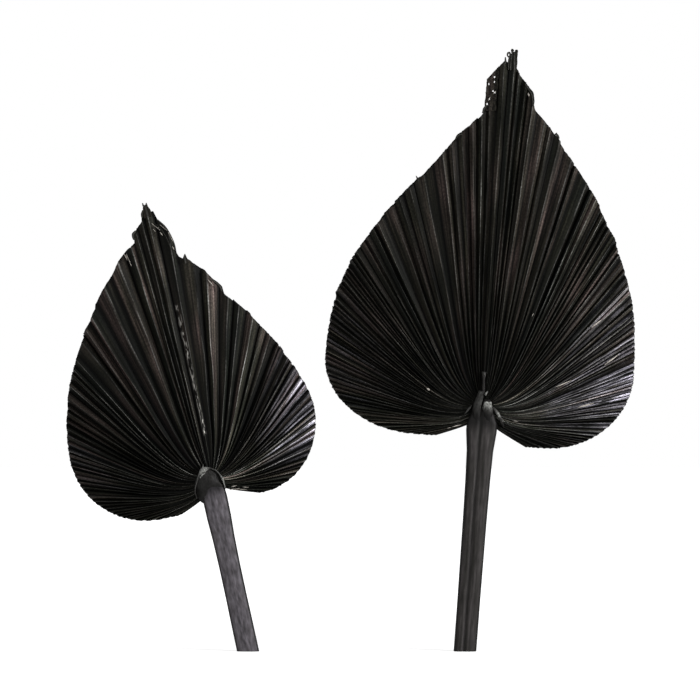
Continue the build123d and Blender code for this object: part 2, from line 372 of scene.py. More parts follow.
def ramp(tree, factor, stops):
    """A colour ramp with its stops given as (position, sRGB) pairs."""
    made = node(tree, "ShaderNodeValToRGB", [("Fac", factor)])
    elements = made.color_ramp.elements
    while len(elements) < len(stops):
        elements.new(0.5)
    for element, (position, colour) in zip(elements, stops):
        element.position = position
        element.color = linear(colour)
    return made.outputs["Color"]


def stretched_noise(tree, vector, across, along, detail=3.0):
    """Noise whose grains are this far apart across and along the fibres."""
    grain = node(
        tree, "ShaderNodeMapping", [("Vector", vector), ("Scale", (1 / across, 1 / along, 1 / across))],
    )
    noise = node(
        tree, "ShaderNodeTexNoise", [("Vector", grain.outputs[0]), ("Scale", 1.0), ("Detail", detail)],
    )
    return noise.outputs["Fac"]


def span(tree, value, start, end, to_start, to_end):
    """A value carried from one span to another, and held at its ends."""
    carried = node(
        tree, "ShaderNodeMapRange",
        [("Value", value), ("From Min", start), ("From Max", end), ("To Min", to_start), ("To Max", to_end)],
    )
    return carried.outputs["Result"]


def blended(tree, factor, first, second):
    """Two colours mixed by a factor. A Mix node has its colour sockets at 6 and 7, and 2 on its way out."""
    mix = node(tree, "ShaderNodeMix", [(0, factor), (6, first), (7, second)], data_type="RGBA")
    return mix.outputs[2]


def mark_value(tree, name):
    """A value that the mesh carries at each point."""
    return node(tree, "ShaderNodeAttribute", attribute_name=name).outputs["Fac"]


def product(tree, first, second):
    """Two values multiplied."""
    return node(tree, "ShaderNodeMath", [(0, first), (1, second)], operation="MULTIPLY").outputs[0]


# Dyed palm leaf: a dry, papery skin over long fibres. The dye is almost black, with painted shade in the
# valleys; broad faces show brown, the ridges grey from wear and a painted highlight, and the right lobes
# carry a painted violet-grey sheen. Veins lie about 0.5 mm apart and run the length of a fold, with fibre
# bundles between them. The ridge highlight and the sheen break into dashes of 14 mm, the sheen's flecks are
# 5 mm, and the dye took in patches 5 mm wide. Specks of dried dye are under 0.2 mm, too fine to show, and
# are drawn 0.5 mm across.
dyed_leaf = bpy.data.materials.new("dyed_palm_leaf")
dyed_leaf.use_nodes = True
tree = dyed_leaf.node_tree
shader = tree.nodes["Principled BSDF"]
shader.inputs["IOR"].default_value = 1.45
shader.inputs["Specular IOR Level"].default_value = 0.06
uv = node(tree, "ShaderNodeTexCoord").outputs["UV"]
fibres = stretched_noise(tree, uv, 0.5 * mm, 30 * mm, 4.0)
glints = stretched_noise(tree, uv, 0.9 * mm, 14 * mm, 3.0)
flecks = stretched_noise(tree, uv, 0.7 * mm, 5 * mm, 2.0)
veins = stretched_noise(tree, uv, 0.55 * mm, 70 * mm, 2.0)
grit = stretched_noise(tree, uv, 0.5 * mm, 1.1 * mm, 2.0)
patches = stretched_noise(tree, uv, 5 * mm, 45 * mm, 2.0)
ridge = mark_value(tree, "ridge")
facet = node(
    tree, "ShaderNodeMath",
    [(0, mark_value(tree, "tone")), (1, 0.13), (2, patches)], operation="MULTIPLY_ADD",
)
dye = ramp(
    tree, facet.outputs[0],
    [(0.24, "#0d0f0c"), (0.42, "#181813"), (0.54, "#25231e"), (0.66, "#342e2a"), (0.82, "#463c39")],
)
# A painted violet-grey sheen on the right lobes.
painted_sheen = product(tree, mark_value(tree, "painted_sheen"), span(tree, glints, 0.42, 0.64, 0.05, 0.95))
dye = blended(tree, painted_sheen, dye, linear("#a5a2ad"))
# A painted highlight along the ridges, in grey, together with some wear.
wear_and_highlight = product(tree, span(tree, ridge, 0.86, 0.99, 0.0, 0.85), span(tree, glints, 0.38, 0.62, 0.1, 1.0))
dye = blended(tree, wear_and_highlight, dye, linear("#757471"))

# How bright the dye is drawn: painted shade in the valleys, darker along the cut edge, painted light and
# shade from the light mark, and uneven along the fibres, the veins and the specks.
# Painted shade: the valleys of the folds are drawn dark.
shade_and_grain = product(tree, span(tree, ridge, 0.03, 0.34, 0.03, 0.9), span(tree, fibres, 0.35, 0.65, 0.45, 1.5))
shade_and_grain = product(tree, shade_and_grain, span(tree, veins, 0.34, 0.66, 0.40, 2.0))
shade_and_grain = product(tree, shade_and_grain, span(tree, grit, 0.3, 0.7, 0.55, 1.55))
shade_and_grain = product(tree, shade_and_grain, span(tree, mark_value(tree, "rim"), 0.1 * mm, 0.6 * mm, 0.08, 1.0))
shade_and_grain = product(tree, shade_and_grain, mark_value(tree, "light"))
shaded = node(tree, "ShaderNodeVectorMath", [(0, dye), ("Scale", shade_and_grain)], operation="SCALE")

# Painted flecks of sheen on the lobes' ridges, and bare fibre where the smaller blade frayed along a slit.
sheen_fleck = product(tree, mark_value(tree, "painted_sheen"), span(tree, flecks, 0.60, 0.68, 0.0, 0.75))
sheen_fleck = product(tree, sheen_fleck, span(tree, ridge, 0.35, 0.6, 0.0, 1.0))
frayed = product(tree, mark_value(tree, "frayed"), span(tree, flecks, 0.50, 0.57, 0.0, 1.0))
dye = blended(tree, sheen_fleck, shaded.outputs[0], linear("#b0adb5"))
dye = blended(tree, frayed, dye, linear("#cfcbc4"))
tree.links.new(dye, shader.inputs["Base Color"])
tree.links.new(span(tree, fibres, 0.3, 0.7, 0.45, 0.65), shader.inputs["Roughness"])
bump = node(tree, "ShaderNodeBump", [("Height", fibres), ("Distance", 0.08 * mm), ("Strength", 0.7)])
tree.links.new(bump.outputs[0], shader.inputs["Normal"])

# Places across a fold: -1 is its first valley and 0 its ridge, and its last valley begins the next fold.
fold_steps = np.array([-1, -0.9, -0.68, -0.45, -0.25, -0.1, 0, 0.1, 0.25, 0.45, 0.68, 0.9])
rows = 96
row_power = 1.2  # rows lie closer together near the hub
crease_power = 1.1  # hollows a fold's two faces a little

# No two folds are alike: these are the spans that each fold's own width, shape and end are drawn from.
width_scatter = 0.38
width_limits = (0.35, 2.2)
broad_reach = 0.08  # how far from broad_at, as a share of the fan, the broad folds reach
narrowing = 0.55  # how much narrower the folds beside the midrib are
narrow_reach = 0.07
evening = 0.25  # how far the folds' widths are drawn towards the mean again
ridge_limits = (0.25, 0.75)  # where the ridge stands between the valleys
height_limits = (0.45, 1.12)
kink_size = 0.09
wobble_size = 0.06
drift_size = 0.08  # how far a ridge wanders, as a share of its fold
tooth = 0.7 * mm  # how far one side of a fold's end stands above the other
tooth_fade = 0.7
ragged_edge = 0.25 * mm

# How bright the folds are drawn. They are darkest at the hub, painted shade of the hollow there, and
# lighten over far_reach, and within near_reach of the hub they differ from one another the most. Those next
# to the midrib lighten again towards the tip.
shine_limits = (0.5, 1.5)
far_reach = 75 * mm
hub_light = 0.5
hub_tone = 1.3
near_reach = 45 * mm
near_contrast = 4
tip_light = 0.25
tip_from = 80 * mm
tip_over = 60 * mm
tip_share = 0.3
bold_tone = 0.8
wobble_tone = 0.4

# The painted violet sheen lies round one share of the fan, away from the hub. The smaller blade's frayed slit
# runs beside its midrib.
sheen_strength = 1.5
sheen_power = 1.5
sheen_at = 0.58
sheen_reach = 0.16
sheen_from = 25 * mm
sheen_over = 45 * mm
slit_across = 1.9 * mm
slit_width = 0.45 * mm
slit_from = 22 * mm
slit_to = 88 * mm
map_radius = 70  # in mm from the hub, where the pattern across the folds has its true width


def ridge_mark(height, share, far, even, lobe_power=1.2, hub_power=2.4, valley_lift=0.13, ridge_drop=0.25):
    """How high on its fold a point is, 0 in a valley and 1 on a ridge, to a power that grows towards the
    stalk and the hub, where only the ridges catch the light. The dye reads it for painted shade in the
    valleys and a painted highlight on the ridges. Even folds have both ends drawn together."""
    sharpness = 1 + lobe_power * share + hub_power * (1 - far) ** 2
    return valley_lift * even + (1 - ridge_drop * even) * height ** sharpness


rng = np.random.default_rng(7)
for leaf in (large, small):
    for half in leaf.halves:
        folds = leaf.runs * half.run_folds
        middles = (np.arange(folds) + 0.5) / folds
        widths = np.clip(rng.normal(1, width_scatter, folds), *width_limits)
        widths = widths * (1 + half.broad_by * np.exp(-((middles - half.broad_at) / broad_reach) ** 2))
        widths = widths * (1 - narrowing * np.exp(-(middles / narrow_reach) ** 2))
        valleys = np.concatenate([[0], np.cumsum(widths)])
        valleys = (1 - evening) * valleys / valleys[-1] + evening * np.linspace(0, 1, folds + 1)
        ridge_at = rng.uniform(*ridge_limits, folds)
        heights = rng.uniform(*height_limits, folds)
        kinks = rng.normal(0, kink_size, (folds, len(fold_steps)))
        teeth = rng.uniform(-1, 1, folds) * tooth * (1 - tooth_fade * middles)
        tones = rng.normal(0, 1, (folds, 2))
        shines = rng.uniform(*shine_limits, (folds, 2))
        sheen_by_face = sheen_strength * rng.uniform(0, 1, (folds, 2)) ** sheen_power
        for run in range(leaf.runs):
            # Where each column lies in the fan, and where the trim ends it.
            first = run * half.run_folds
            steps = np.append(np.tile(fold_steps, half.run_folds), -1)
            fold = first + np.minimum(np.arange(len(steps)) // len(fold_steps), half.run_folds - 1)
            start, end = valleys[fold], valleys[fold + 1]
            crest = start + (end - start) * ridge_at[fold]
            share = np.where(steps < 0, crest + (crest - start) * steps, crest + (end - crest) * steps)
            share[-1] = end[-1]
            height = 1 - np.abs(steps)
            kink = np.append(kinks[first:first + half.run_folds], 0) * (height > 0) * (height < 1)
            position = (share - start) / (end - start)
            lean = teeth[fold]
            reach = cut_distance(half, share, leaf.tip)
            reach = reach - np.abs(lean) * np.where(lean > 0, position, 1 - position)
            reach = reach - rng.uniform(0, ragged_edge, len(share))

            # The folds' surface: each row is a zigzag that opens as it leaves the hub.
            along = np.linspace(0, 1, rows)[:, None]
            distance = root + (reach - root) * along ** row_power
            wobble = waves(rng, rows, len(share)) * (height > 0)
            drift = waves(rng, rows, half.run_folds, 2)[:, fold - first] * drift_size * np.sin(np.pi * along)
            drifted = share[None, :] + drift * (end - start) * height
            across, up = rib(half, drifted, distance)
            opened = 1 - np.exp(-distance / rise_length)
            crease = (height ** crease_power + kink) * heights[fold] * (1 + wobble_size * wobble)
            out = crease * fold_rise * opened - across * np.sin(fall)
            points = in_leaf(leaf, half.side * across, up, out)
            width = share * half.spread * map_radius * mm + half.side
            uv_grid = np.stack([np.broadcast_to(width, distance.shape), distance], axis=-1)

            # The marks that the dye reads, painted light and shade among them. A fold's two faces differ, and
            # one is turned from the key lamp.
            face = (steps >= 0).astype(int)
            turned_away = face == (half.side < 0)
            far = np.clip(distance / far_reach, 0, 1)
            near = np.clip(1 - distance / near_reach, 0, 1)
            tipward = 1 + tip_light * np.clip((distance - tip_from) / tip_over, 0, 1) * (share < tip_share)
            bold = np.interp(share, (0, 1), half.bold)
            even = np.clip(np.interp(share, (0, 1), half.even), 0, 1) * far
            # Painted light and shade: brighter or darker by share as the lamps fall, painted shade at the
            # hub, and the faces turned from the key lamp lifted.
            light = np.interp(share, *np.transpose(half.light)) * (hub_light + (1 - hub_light) * far)
            light = light * shines[fold, face] ** (1 + bold + near_contrast * near)
            light = light * tipward * np.where(turned_away, half.shade, 1)
            tone = tones[fold, face] * np.minimum(1, 1 + bold_tone * bold)
            tone = tone + wobble_tone * wobble - hub_tone * (1 - far)
            # Where the painted sheen lies: round one share of the fan, away from the hub.
            lobe = np.exp(-((share - sheen_at) / sheen_reach) ** 2)
            lobe = lobe * np.clip((distance - sheen_from) / sheen_over, 0, 1)
            slit = np.exp(-((half.side * across - slit_across) / slit_width) ** 2)
            slit = slit * (leaf is small) * (up > slit_from) * (up < slit_to)
            marks = {
                "ridge": ridge_mark(height, share, far, even), "tone": tone, "light": light,
                "painted_sheen": half.painted_sheen * lobe * sheen_by_face[fold, face], "frayed": slit,
                "rim": reach[None, :] - distance,
            }
            piece = skin(f"{half.name}_blade_{run + 1:02d}", points, uv_grid, marks)
            piece.data.materials.append(dyed_leaf)
            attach(piece, "root")
            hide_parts(f"{half.name}_folds_{run + 1:02d}")


# The stalks: the palm's leaf stalk, dyed with the blade. Two flat faces meet in a groove in front, the back
# is round, the foot is cut level, and the flared head slopes away under the folds that grow round it.

# widths are (up from the hub, width) pairs. The groove lies this far across, as deep as the cleft, and
# painted shade darkens the head between two heights. violet is how cloudy and violet the dye is.
large.stalk = SimpleNamespace(
    depth=9.0 * mm, groove=-0.9 * mm, cleft=0.75 * mm, shade_from=-14.5 * mm, shade_to=-9 * mm, violet=0.0,
    widths=np.array([
        [-123, 11.4], [-98, 11.5], [-58, 12.0], [-38, 12.5], [-23, 13.3], [-13, 15.4], [-9, 15.2], [-5, 12.2],
        [-1, 9.6], [3, 6.5],
    ]) * mm,
)
small.stalk = SimpleNamespace(
    depth=8.4 * mm, groove=-1.8 * mm, cleft=0.2 * mm, shade_from=-11.5 * mm, shade_to=-5.5 * mm, violet=1.0,
    widths=np.array([
        [-88.5, 11.2], [-62, 10.7], [-45, 10.7], [-31, 11.2], [-20, 12.2], [-10, 12.4], [-6, 11.6], [-2, 9],
        [3, 5.5],
    ]) * mm,
)
front_share = 0.42  # of the depth lies in front of the leaf's plane
side_power = 0.85  # the lower a power, the flatter the faces and the sharper the edges
front_power = 0.5
back_power = 0.8
groove_width = 1.0 * mm
rind_ridge = 0.05 * mm  # how high the fine ridges of the fibres stand
rind_spacing = 0.75 * mm
rind_beat = 1.9 * mm
head_slope = 0.6  # of the front's depth is lost over the head
head_from = -8 * mm
head_over = 9 * mm
head_power = 1.5
level_length = 20 * mm  # above the level cut, the sections turn square to the stalk over this length
# Painted shade at the sides, over the head and in the groove:
edge_from = 0.80  # as a share of the half width, where the dark edge starts
edge_over = 0.1
head_shade = 0.85
groove_shade = 0.8
groove_shade_width = 0.7 * mm


def tubes(name, rings, lengths, marks):
    """Tubes, each of rings of points joined along a length and capped. The map's two directions are the
    distance round the widest ring and the length along the tube."""
    parts, rows, count = rings.shape[:3]
    index = np.arange(parts * rows * count).reshape(parts, rows, count)
    following = np.roll(index, -1, axis=2)
    walls = np.stack([index[:, :-1], following[:, :-1], following[:, 1:], index[:, 1:]], axis=-1)
    caps = np.concatenate([index[:, 0, ::-1], index[:, -1]])
    faces = walls.reshape(-1, 4).tolist() + caps.tolist()
    mesh = bpy.data.meshes.new(name)
    mesh.from_pydata(rings.reshape(-1, 3).tolist(), [], faces)
    widest = np.argmax(np.ptp(rings[..., 0], axis=2), axis=1)
    ring = rings[np.arange(parts), widest]
    girth = np.linalg.norm(np.roll(ring, -1, axis=1) - ring, axis=2)
    around = np.concatenate([np.zeros((parts, 1)), np.cumsum(girth, axis=1)], axis=1)
    shape = (parts, rows - 1, count)
    start, end = (np.broadcast_to(part[:, None, :], shape) for part in (around[:, :-1], around[:, 1:]))
    lower, upper = (np.broadcast_to(part[:, :, None], shape) for part in (lengths[:, :-1], lengths[:, 1:]))
    wall_uv = np.stack([start, lower, end, lower, end, upper, start, upper], axis=-1).reshape(-1, 2)
    cap_uv = np.concatenate([rings[:, 0, ::-1], rings[:, -1]]).reshape(-1, 3)[:, :2]
    layer = mesh.uv_layers.new(name="UVMap")
    layer.data.foreach_set("uv", np.concatenate([wall_uv, cap_uv]).reshape(-1).astype(np.float32))
    for mark, values in marks.items():
        attribute = mesh.attributes.new(mark, "FLOAT", "POINT")
        spread = np.broadcast_to(values, rings.shape[:3])
        attribute.data.foreach_set("value", spread.reshape(-1).astype(np.float32))
    mesh.polygons.foreach_set("use_smooth", np.ones(len(faces), dtype=bool))
    mesh.update()
    made = bpy.data.objects.new(name, mesh)
    bpy.context.collection.objects.link(made)
    return made


# Dyed leaf stalk: a hard, smooth rind of straight fibres that takes the dye less deeply than the blade,
# so it stays a cloudy dark grey. Painted shade darkens its edges, its groove and its head, and torn ends show
# pale dry fibre.
# Its fibres are drawn 0.35 mm apart, broad streaks and clouds of dye about 2 mm, and torn crumbs 0.7 mm.
dyed_rind = bpy.data.materials.new("dyed_palm_stalk")
dyed_rind.use_nodes = True
tree = dyed_rind.node_tree
shader = tree.nodes["Principled BSDF"]
shader.inputs["IOR"].default_value = 1.45
shader.inputs["Specular IOR Level"].default_value = 0.1
uv = node(tree, "ShaderNodeTexCoord").outputs["UV"]
fine = stretched_noise(tree, uv, 0.35 * mm, 20 * mm, 3.0)
broad = stretched_noise(tree, uv, 2.2 * mm, 30 * mm, 2.0)
cloud = stretched_noise(tree, uv, 1.6 * mm, 5 * mm, 3.0)
crumb = stretched_noise(tree, uv, 0.7 * mm, 1.1 * mm, 3.0)
dye = ramp(tree, broad, [(0.30, "#1b1a18"), (0.50, "#2a2827"), (0.72, "#3b3838")])
dye = blended(tree, product(tree, mark_value(tree, "violet"), cloud), dye, linear("#68646a"))
crumbled = product(tree, mark_value(tree, "pale"), span(tree, crumb, 0.35, 0.6, 0.1, 1.0))
dye = blended(tree, crumbled, dye, linear("#969793"))
brightness = product(tree, span(tree, fine, 0.3, 0.7, 0.8, 1.25), span(tree, cloud, 0.3, 0.7, 0.75, 1.25))
# Painted shade darkens the edges, the groove and the head.
brightness = product(tree, brightness, span(tree, mark_value(tree, "painted_shade"), 0.0, 1.0, 1.0, 0.08))
streaked = node(tree, "ShaderNodeVectorMath", [(0, dye), ("Scale", brightness)], operation="SCALE")
tree.links.new(streaked.outputs[0], shader.inputs["Base Color"])
tree.links.new(span(tree, fine, 0.3, 0.7, 0.42, 0.6), shader.inputs["Roughness"])
bump = node(tree, "ShaderNodeBump", [("Height", fine), ("Distance", 0.06 * mm), ("Strength", 0.6)])
tree.links.new(bump.outputs[0], shader.inputs["Normal"])


def stalk_rings(leaf, rows=140, count=96):
    """Sections from the level foot to the head, with how far up each is and how much painted shade each point
    has. Powers of |sin| and |cos| make a section flat in front and round behind, a bell curve sinks the
    groove, the product of two sines raises fine ridges, and the head's front slopes away."""
    stalk = leaf.stalk
    up = np.linspace(stalk.widths[0, 0], stalk.widths[-1, 0], rows)[:, None]
    half_width = np.interp(up, stalk.widths[:, 0], stalk.widths[:, 1]) / 2
    angle = np.linspace(0, 2 * np.pi, count, endpoint=False)[None, :]
    across = half_width * np.sign(np.cos(angle)) * np.abs(np.cos(angle)) ** side_power
    slope = 1 - head_slope * np.clip((up - head_from) / head_over, 0, 1) ** head_power
    front = np.abs(np.sin(angle)) ** front_power * stalk.depth * front_share * slope
    back = np.abs(np.sin(angle)) ** back_power * stalk.depth * (1 - front_share)
    beside = across - stalk.groove
    groove = stalk.cleft * np.exp(-((beside / groove_width) ** 2))
    ridges = rind_ridge * np.sin(across / rind_spacing) * np.sin(across / rind_beat + 1)
    out = np.where(np.sin(angle) > 0, front - groove - np.abs(ridges), -back)
    points = in_leaf(leaf, across, np.broadcast_to(up, across.shape), out)
    level = np.clip(1 - (up - up[0, 0]) / level_length, 0, 1)
    foot = leaf.foot + np.stack([across, 0 * across, 0 * across], axis=-1) + out[..., None] * leaf.out
    foot[..., 2] = (up - up[0, 0]) * leaf.up[2]
    foot[..., 0] += (up - up[0, 0]) * leaf.up[0]
    # Painted shade: the sides, the head under the folds, and the groove.
    edge = np.clip((np.abs(across) / half_width - edge_from) / edge_over, 0, 1)
    head = head_shade * np.clip((up - stalk.shade_from) / (stalk.shade_to - stalk.shade_from), 0, 1)
    cleft = groove_shade * stalk.cleft / mm * np.exp(-((beside / groove_shade_width) ** 2))
    cleft = cleft * (np.sin(angle) > 0)
    painted_shade = np.maximum(np.maximum(edge, head), cleft)
    return points * (1 - level[..., None]) + foot * level[..., None], up[:, 0], painted_shade


for leaf in (large, small):
    rings, lengths, painted_shade = stalk_rings(leaf)
    marks = {"painted_shade": painted_shade, "violet": leaf.stalk.violet}
    stalk = tubes(f"{leaf.name}_stalk_rind", rings[None], lengths[None], marks)
    stalk.data.materials.append(dyed_rind)
    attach(stalk, "root")
    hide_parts(f"{leaf.name}_stalk")


# The midribs: the stalk's round back runs on behind the blade as a half-round rib of the same dyed rind,
# which grew with the folds. It tapers from 6 mm wide and 3.2 mm deep to 1.4 by 0.7 mm.

midrib_from = 3 * mm
midrib_reach = 0.62  # of the way to the tip
seat = 1.3 * mm  # its flat front lies this far behind the leaf's plane, against the valleys of the folds
for leaf in (large, small):
    rows, count = 90, 32
    along = np.linspace(0, 1, rows)[:, None]
    angle = np.linspace(0, 2 * np.pi, count, endpoint=False)[None, :]
    tapering = along ** 0.8
    half_width = (3.0 - 2.3 * tapering) * mm
    depth = (3.2 - 2.5 * tapering) * mm
    up = midrib_from + (midrib_reach * leaf.tip - midrib_from) * along
    across = half_width * np.cos(angle)
    out = -seat - depth * np.clip(-np.sin(angle), 0, 1) ** 0.9
    rings = in_leaf(leaf, across, np.broadcast_to(up, across.shape), out)
    midrib = tubes(f"{leaf.name}_midrib_rind", rings[None], up.T, {"violet": leaf.stalk.violet})
    midrib.data.materials.append(dyed_rind)
    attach(midrib, "root")
    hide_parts(f"{leaf.name}_midrib")


# The hastulas: the crest on the front of the stalk's head, where the folds start, broken when the leaf was
# stripped. The larger leaf keeps a tongue, a pale nub and two flaps, the smaller one a hood with a torn rim.


def smooth_path(table, rows):
    """A Catmull-Rom curve through the rows of a table, all its columns together."""
    table = np.array(table, dtype=float)
    padded = np.concatenate([2 * table[:1] - table[1:2], table, 2 * table[-1:] - table[-2:-1]])
    place = np.linspace(0, len(table) - 1, rows)
    first = np.minimum(place.astype(int), len(table) - 2)
    step = (place - first)[:, None]
    before, start, end, after = (padded[first + offset] for offset in range(4))
    slope = end - before
    square = 2 * before - 5 * start + 4 * end - after
    cube = 3 * start - before - 3 * end + after
    return start + 0.5 * step * (slope + step * (square + step * cube))


def crests(name, leaf, tables, floor, torn=0.25 * mm, rows=44, count=28):
    """Half superellipse sections square to smooth lines in the leaf's plane, on a flat seat. A table's rows
    are across, up, half width and front in mm, then how much painted shade and how pale. Waves make each
    section uneven, and the last ninth of a line is torn, some of its fibres longer than others."""
    power = 0.7
    unevenness = 0.25
    finest = 0.05 * mm
    thinnest = 0.1 * mm
    rings, lengths, painted_shades, pales = [], [], [], []
    angle = np.linspace(0, 2 * np.pi, count, endpoint=False)[None, :]
    for table in tables:
        line = smooth_path(table, rows)
        across, up, half_width, front = (line[:, [column]] * mm for column in range(4))
        travel = np.hypot(np.gradient(across[:, 0]), np.gradient(up[:, 0]))[:, None]
        ahead = np.gradient(np.concatenate([across, up], axis=1), axis=0) / travel
        ragged = 1 + unevenness * waves(rng, rows, count, 6)
        rounded = np.sign(np.cos(angle)) * np.abs(np.cos(angle)) ** power
        side = np.maximum(half_width, finest) * rounded * ragged
        end = torn * rng.normal(0, 1, (1, count)) * np.clip(np.linspace(-8, 1, rows)[:, None], 0, 1)
        raised = np.maximum(front - floor, thinnest) * np.clip(np.sin(angle), 0, 1) ** power
        out = floor + raised * ragged
        across_at = across + ahead[:, [1]] * side + ahead[:, [0]] * end
        up_at = up - ahead[:, [0]] * side + ahead[:, [1]] * end
        rings.append(in_leaf(leaf, across_at, up_at, out))
        lengths.append(np.cumsum(travel[:, 0]))
        # Painted shade, read from each table's fifth column.
        painted_shades.append(np.broadcast_to(np.clip(line[:, [4]], 0, 1), side.shape))
        pales.append(np.broadcast_to(np.clip(line[:, [5]], 0, 1), side.shape))
    marks = {"painted_shade": np.array(painted_shades), "pale": np.array(pales), "violet": 0.0}
    made = tubes(name, np.array(rings), np.array(lengths), marks)
    made.data.materials.append(dyed_rind)
    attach(made, "root")
    return made


tongue = crests(
    "large_tongue", large,
    [
        [(-3.0, -9, 1.8, 3.4, 1, 0), (-3.0, -5.5, 2.2, 3.8, 0.95, 0), (-3.1, -2.5, 2.1, 4.1, 0.78, 0.1),
         (-2.6, 1.6, 1.9, 4.0, 0.65, 0.25), (-1.9, 4.6, 1.6, 3.9, 0.7, 0.1),
         (-1.5, 6.9, 1.2, 3.6, 0.45, 0.35)],
        [(-0.6, 5, 0.9, 3.6, 0.7, 0), (-0.7, 10, 0.7, 3.5, 0.6, 0), (-0.8, 13.5, 0.6, 3.4, 0.5, 0.1),
         (-0.9, 16.5, 1.1, 3.2, 0.4, 0.2)],
    ],
    1.0 * mm, torn=0.5 * mm,
)
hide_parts("large_hastula")
crests(
    "large_nub", large,
    [
        [(2.6, -8.5, 2.4, 3.3, 1, 0), (2.6, -5.5, 2.6, 3.8, 0.95, 0), (2.4, -2.8, 2.4, 4.3, 0.6, 0.15),
         (2.1, -0.2, 2.2, 4.4, 0, 0.7), (2.0, 1.6, 2.0, 3.9, 0, 1.0)],
        [(0.5, 5.0, 0.25, 4.0, 0, 0.8), (0.8, 5.9, 0.5, 4.1, 0, 1.0), (1.3, 6.6, 0.25, 3.8, 0, 0.8)],
    ],
    1.0 * mm, torn=0.45 * mm,
)
crests(
    "large_flaps", large,
    [
        [(4.4, -0.6, 0.3, 2.4, 0.5, 0.1), (6.2, -2.2, 0.8, 2.9, 0.35, 0.3), (7.8, -4.2, 0.7, 2.6, 0.1, 1.0),
         (9.4, -7.0, 0.7, 1.8, 0.5, 0.1), (10.7, -9.8, 0.4, 1.0, 0.7, 0)],
        [(-5.6, -0.4, 0.2, 2.0, 0.6, 0.2), (-7.2, -2.6, 0.45, 2.2, 0.4, 0.6),
         (-8.8, -5.0, 0.25, 1.6, 0.6, 0.3)],
    ],
    -1.2 * mm,
)
hood = crests(
    "small_hood", small,
    [
        [(-0.4, -11.2, 4.4, 2.0, 1, 0), (-1.4, -8, 6.6, 2.8, 0.9, 0.1), (-1.7, -4, 7.2, 3.1, 0.85, 0.1),
         (-0.8, 0.4, 6.0, 3.2, 0.8, 0.15), (-0.6, 3, 4.2, 2.9, 0.75, 0.2), (-0.3, 4.8, 1.8, 2.4, 0.6, 0.2)],
    ],
    0.0 * mm, torn=0.1 * mm,
)
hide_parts("small_hastula")
crests(
    "small_hood_rim", small,
    [
        [(-8.8, -8.4, 0.25, 2.4, 0.6, 0.1), (-8.9, -4.5, 0.3, 2.9, 0.45, 0.2),
         (-6.8, 0.2, 0.35, 3.2, 0.3, 0.3), (-4.8, 3.0, 0.8, 3.5, 0, 0.6),
         (-3.0, 4.4, 1.5, 3.6, 0, 1.0), (-1.2, 5.0, 1.0, 3.5, 0, 0.9),
         (0.8, 4.9, 0.4, 3.2, 0.4, 0.2), (3.2, 3.4, 0.3, 3.2, 0.3, 0.3), (4.6, 1.4, 0.3, 3.3, 0.4, 0.4),
         (5.6, -1.4, 0.4, 3.4, 0, 1.0), (6.0, -3.6, 0.3, 3.1, 0, 1.0), (6.2, -6.6, 0.25, 2.6, 0.4, 0.4)],
        [(-3.6, 4.4, 0.3, 3.3, 0, 0.7), (-2.7, 5.8, 0.4, 3.4, 0, 0.8), (-2.2, 7.6, 0.15, 3.2, 0.4, 0.4)],
        [(-5.2, 1.2, 0.3, 3.5, 0.1, 0.6), (-3.6, 2.6, 0.6, 3.7, 0, 1.0), (-1.6, 3.6, 0.4, 3.6, 0, 0.7)],
    ],
    0.4 * mm, torn=0.2 * mm, rows=110,
)


# The torn tips and edges: where the dry leaf split past the trimmed edge it stands up in strands, curls and
# a net of bare cross fibres. Some breaks show the pale inside of the fibre, which the dye did not reach.


def blade_front(across, up, ridge_height=0.95):
    """The usual height of the folds' ridges in front of the leaf's plane: it rises with the distance from
    the hub, less as that grows, and falls back with the distance across. Single folds differ from it."""
    opened = 1 - np.exp(-np.hypot(across, up) / rise_length)
    return ridge_height * fold_rise * opened - np.abs(across) * np.sin(fall)


def strands(name, leaf, tables, tone=0.0, light=0.7, material=dyed_leaf, rows=24, count=12):
    """Thin split strips of leaf along smooth lines: flattened ellipse sections square to the line. A
    table's rows are across, up, half width and how far the strip lies in front of the ridges' usual height,
    in mm. It doesn't follow the folds, so over a valley or a low fold a strip stands clear of them."""
    unevenness = 0.15
    finest = 0.08 * mm
    half_thickness = 0.25 * mm
    rings, lengths = [], []
    angle = np.linspace(0, 2 * np.pi, count, endpoint=False)[None, :]
    for table in tables:
        line = smooth_path(table, rows) * mm
        across, up, half_width, lift = (line[:, [column]] for column in range(4))
        travel = np.hypot(np.gradient(across[:, 0]), np.gradient(up[:, 0]))[:, None]
        ahead = np.gradient(np.concatenate([across, up], axis=1), axis=0) / travel
        uneven = 1 + unevenness * waves(rng, rows, count)
        side = np.maximum(half_width, finest) * np.cos(angle) * uneven
        out = blade_front(across, up) + lift + half_thickness * np.sin(angle)
        rings.append(in_leaf(leaf, across + ahead[:, [1]] * side, up - ahead[:, [0]] * side, out))
        lengths.append(np.cumsum(travel[:, 0]))
    # The ridge mark draws painted shade along each strip's sides and a painted highlight down its middle.
    ridge = np.broadcast_to(np.clip(np.sin(angle), 0, 1) ** 2, (rows, count))
    marks = {"ridge": ridge, "tone": tone, "light": light, "rim": 1.0 * mm}
    made = tubes(name, np.array(rings), np.array(lengths), marks)
    made.data.materials.append(material)
    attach(made, "root")


